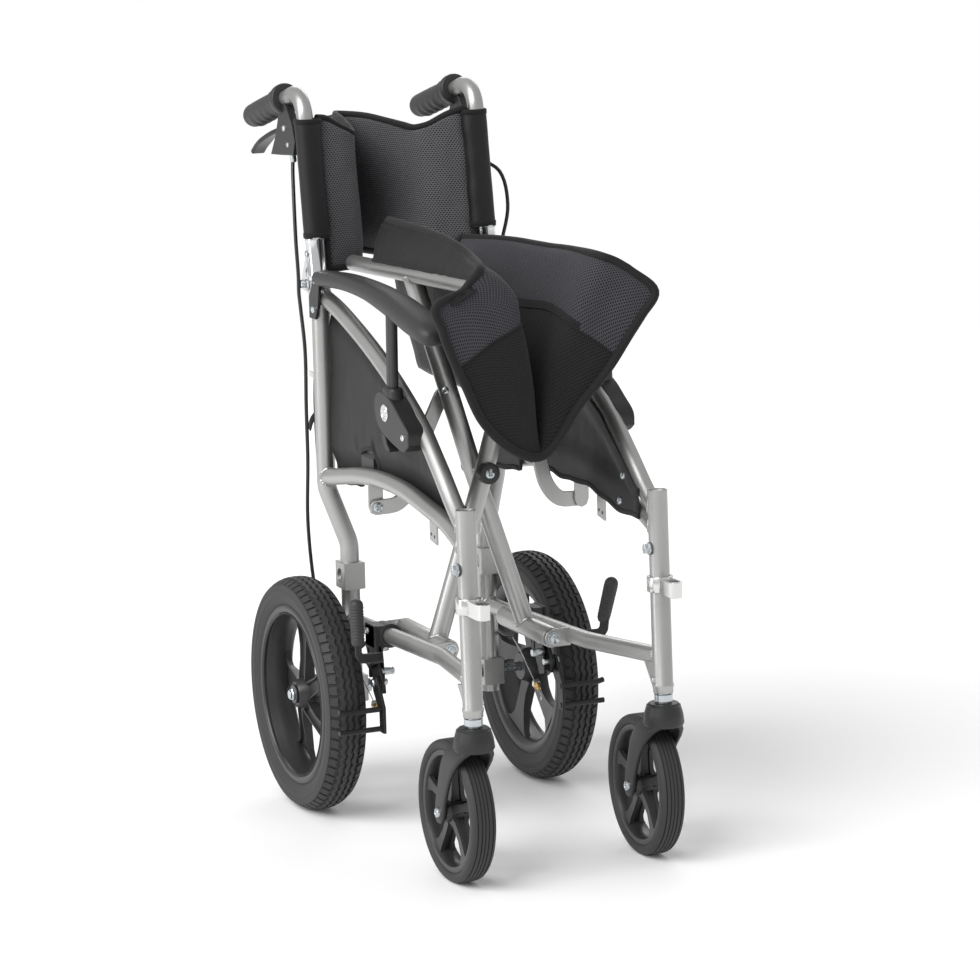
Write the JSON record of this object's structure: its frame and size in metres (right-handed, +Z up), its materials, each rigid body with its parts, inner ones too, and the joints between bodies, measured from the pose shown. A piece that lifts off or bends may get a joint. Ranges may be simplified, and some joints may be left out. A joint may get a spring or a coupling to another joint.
{
  "type": "manual wheelchair",
  "caption": "Folding attendant-propelled manual wheelchair, folded: silver tubes, black casters and rear wheels, padded seat and back sling, push handles with brake levers.",
  "frame": {"origin": "On the floor, in the middle of the folded chair: halfway between the two side frames, and halfway between the front of the footrest clamps and the ends of the push handles.", "axes": "+Z up. -Y is the way a rider faces, so the casters are at -Y and the push handles at +Y. +X is the rider's left hand side."},
  "size_m": [0.386, 0.7767, 0.9539],
  "materials": {
    "satin_tube": "silver satin powder coat with a fine texture",
    "bright_metal": "bare cast clamp",
    "zinc": "zinc plated fastener",
    "black_plastic": "satin black moulding",
    "black_metal": "black powder coat",
    "tyre_rubber": "solid dark tyre",
    "grip_rubber": "dark grey moulded grip",
    "pad_foam": "black self-skinned foam pad",
    "cable_sheath": "black cable sheath",
    "guard_cloth": "black woven nylon",
    "seat_cloth": "grey and black spacer mesh, padded"
  },
  "bodies": {
    "frame_right": {"right_front_leg": "satin_tube", "right_rear_upright": "satin_tube", "right_top_rail": "satin_tube", "right_seat_side_rail": "satin_tube", "right_bottom_rail": "satin_tube", "right_footrest_clamp": "bright_metal", "right_rail_saddle": "black_plastic", "right_skirt_guard": "guard_cloth", "right_armrest_clamp": "black_plastic", "right_brake_bracket": "black_metal", "right_rear_axle": "zinc", "right_lower_cable": "cable_sheath"},
    "right_link": {"right_fold_link": "satin_tube"},
    "right_wheel": {"right_wheel_rim": "black_plastic", "right_rear_tyre": "tyre_rubber"},
    "right_swivel": {"right_caster_fork": "black_plastic"},
    "right_caster": {"right_caster_wheel": "black_plastic", "right_caster_tyre": "tyre_rubber"},
    "right_arm": {"right_armrest": "pad_foam"},
    "right_arm_release": {"right_armrest_trigger": "black_plastic"},
    "right_brake": {"right_brake_lever": "black_metal"},
    "right_stop": {"right_brake_stop": "black_metal"},
    "right_handle": {"right_cane": "satin_tube", "right_hand_grip": "grip_rubber", "right_brake_perch": "black_plastic", "right_upper_cable": "cable_sheath"},
    "right_squeeze": {"right_attendant_lever": "black_metal"},
    "right_back": {"right_back_half": "seat_cloth"},
    "frame_left": {"left_front_leg": "satin_tube", "left_rear_upright": "satin_tube", "left_top_rail": "satin_tube", "left_seat_side_rail": "satin_tube", "left_bottom_rail": "satin_tube", "left_footrest_clamp": "bright_metal", "left_rail_saddle": "black_plastic", "left_skirt_guard": "guard_cloth", "left_armrest_clamp": "black_plastic", "left_brake_bracket": "black_metal", "left_rear_axle": "zinc", "left_lower_cable": "cable_sheath"},
    "left_link": {"left_fold_link": "satin_tube"},
    "left_wheel": {"left_wheel_rim": "black_plastic", "left_rear_tyre": "tyre_rubber"},
    "left_swivel": {"left_caster_fork": "black_plastic"},
    "left_caster": {"left_caster_wheel": "black_plastic", "left_caster_tyre": "tyre_rubber"},
    "left_arm": {"left_armrest": "pad_foam"},
    "left_arm_release": {"left_armrest_trigger": "black_plastic"},
    "left_brake": {"left_brake_lever": "black_metal"},
    "left_stop": {"left_brake_stop": "black_metal"},
    "left_handle": {"left_cane": "satin_tube", "left_hand_grip": "grip_rubber", "left_brake_perch": "black_plastic", "left_upper_cable": "cable_sheath"},
    "left_squeeze": {"left_attendant_lever": "black_metal"},
    "left_back": {"left_back_half": "seat_cloth"},
    "cross_b": {"brace_b": "satin_tube", "left_seat_half": "seat_cloth"},
    "cross_a": {"brace_a": "satin_tube", "right_seat_half": "seat_cloth"}
  },
  "joints": [
    {"name": "fold", "type": "hinge", "parent": "frame_right", "child": "cross_b", "pos_m": [-0.072, 0, 0.257], "axis": [0, 1, 0], "range_deg": [0, 42.5]},
    {"name": "cross_pivot", "type": "hinge", "parent": "cross_b", "child": "cross_a", "pos_m": [0, 0, 0.475], "axis": [0, 1, 0], "range_deg": [-85, 0]},
    {"name": "left_foot", "type": "hinge", "parent": "cross_a", "child": "frame_left", "pos_m": [0.072, 0, 0.257], "axis": [0, 1, 0], "range_deg": [0, 42.5]},
    {"name": "right_link_bolt", "type": "hinge", "parent": "frame_right", "child": "right_link", "pos_m": [-0.12572, -0.03735, 0.431], "axis": [0, 1, 0], "range_deg": [0, 61.2]},
    {"name": "left_link_bolt", "type": "hinge", "parent": "frame_left", "child": "left_link", "pos_m": [0.12662, -0.11165, 0.431], "axis": [0, 1, 0], "range_deg": [-61.2, 0]},
    {"name": "right_wheel_axle", "type": "hinge", "parent": "frame_right", "child": "right_wheel", "pos_m": [-0.167, 0.12865, 0.156], "axis": [1, 0, 0], "continuous": true},
    {"name": "right_caster_swivel", "type": "hinge", "parent": "frame_right", "child": "right_swivel", "pos_m": [-0.1294, -0.34135, 0.236], "axis": [0, 0, 1], "continuous": true},
    {"name": "right_caster_axle", "type": "hinge", "parent": "right_swivel", "child": "right_caster", "pos_m": [-0.1294, -0.28235, 0.09], "axis": [1, 0, 0], "continuous": true},
    {"name": "right_armrest_pin", "type": "hinge", "parent": "frame_right", "child": "right_arm", "pos_m": [-0.135, 0.12065, 0.707], "axis": [-1, 0, 0], "range_deg": [0, 85]},
    {"name": "right_armrest_trigger_pin", "type": "hinge", "parent": "frame_right", "child": "right_arm_release", "pos_m": [-0.1445, -0.12735, 0.541], "axis": [-1, 0, 0], "range_deg": [0, 15], "stiffness_Nm_per_rad": 0.05, "springref_deg": -17.19},
    {"name": "right_brake_lever_pin", "type": "hinge", "parent": "frame_right", "child": "right_brake", "pos_m": [-0.128, -0.00335, 0.222], "axis": [1, 0, 0], "range_deg": [0, 40]},
    {"name": "right_brake_stop_pin", "type": "hinge", "parent": "frame_right", "child": "right_stop", "pos_m": [-0.128, -0.01935, 0.196], "axis": [1, 0, 0], "range_deg": [0, 10]},
    {"name": "left_wheel_axle", "type": "hinge", "parent": "frame_left", "child": "left_wheel", "pos_m": [0.167, 0.12865, 0.156], "axis": [1, 0, 0], "continuous": true},
    {"name": "left_caster_swivel", "type": "hinge", "parent": "frame_left", "child": "left_swivel", "pos_m": [0.1294, -0.34135, 0.236], "axis": [0, 0, 1], "continuous": true},
    {"name": "left_caster_axle", "type": "hinge", "parent": "left_swivel", "child": "left_caster", "pos_m": [0.13197, -0.28241, 0.09], "axis": [0.999, -0.0436, 0], "continuous": true},
    {"name": "left_armrest_pin", "type": "hinge", "parent": "frame_left", "child": "left_arm", "pos_m": [0.135, 0.12065, 0.707], "axis": [-1, 0, 0], "range_deg": [0, 85]},
    {"name": "left_armrest_trigger_pin", "type": "hinge", "parent": "frame_left", "child": "left_arm_release", "pos_m": [0.1445, -0.12735, 0.541], "axis": [-1, 0, 0], "range_deg": [0, 15], "stiffness_Nm_per_rad": 0.05, "springref_deg": -17.19},
    {"name": "left_brake_lever_pin", "type": "hinge", "parent": "frame_left", "child": "left_brake", "pos_m": [0.128, -0.00335, 0.222], "axis": [1, 0, 0], "range_deg": [0, 27]},
    {"name": "left_brake_stop_pin", "type": "hinge", "parent": "frame_left", "child": "left_stop", "pos_m": [0.128, -0.01935, 0.196], "axis": [1, 0, 0], "range_deg": [0, 10]},
    {"name": "back_fold", "type": "hinge", "parent": "frame_right", "child": "right_handle", "pos_m": [-0.1225, 0.18865, 0.695], "axis": [-1, 0, 0], "range_deg": [0, 110]},
    {"name": "back_fold_left", "type": "hinge", "parent": "frame_left", "child": "left_handle", "pos_m": [0.1225, 0.18865, 0.695], "axis": [-1, 0, 0], "range_deg": [0, 110]},
    {"name": "right_back_side", "type": "hinge", "parent": "right_handle", "child": "right_back", "pos_m": [-0.1225, 0.15515, 0.703], "axis": [0, 0.1515, 0.9885], "range_deg": [-55.42, 0]},
    {"name": "right_squeeze_pin", "type": "hinge", "parent": "right_handle", "child": "right_squeeze", "pos_m": [-0.1245, 0.24265, 0.897], "axis": [1, 0, 0], "range_deg": [0, 7], "stiffness_Nm_per_rad": 0.3, "springref_deg": -14.32},
    {"name": "left_back_side", "type": "hinge", "parent": "left_handle", "child": "left_back", "pos_m": [0.1225, 0.15515, 0.703], "axis": [0, 0.1515, 0.9885], "range_deg": [0, 55.42]},
    {"name": "left_squeeze_pin", "type": "hinge", "parent": "left_handle", "child": "left_squeeze", "pos_m": [0.1245, 0.24265, 0.897], "axis": [1, 0, 0], "range_deg": [0, 7], "stiffness_Nm_per_rad": 0.3, "springref_deg": -14.32}
  ],
  "couplings": [
    {"joint": "cross_pivot", "follows": "fold", "ratio": -2},
    {"joint": "left_foot", "follows": "fold", "ratio": 1},
    {"joint": "right_link_bolt", "follows": "fold", "ratio": 1.44},
    {"joint": "left_link_bolt", "follows": "fold", "ratio": -1.44},
    {"joint": "right_brake_stop_pin", "follows": "right_brake_lever_pin", "ratio": 0.25},
    {"joint": "left_brake_stop_pin", "follows": "left_brake_lever_pin", "ratio": 0.37},
    {"joint": "back_fold_left", "follows": "back_fold", "ratio": 1},
    {"joint": "right_back_side", "follows": "fold", "ratio": -1.304},
    {"joint": "left_back_side", "follows": "fold", "ratio": 1.304}
  ]
}
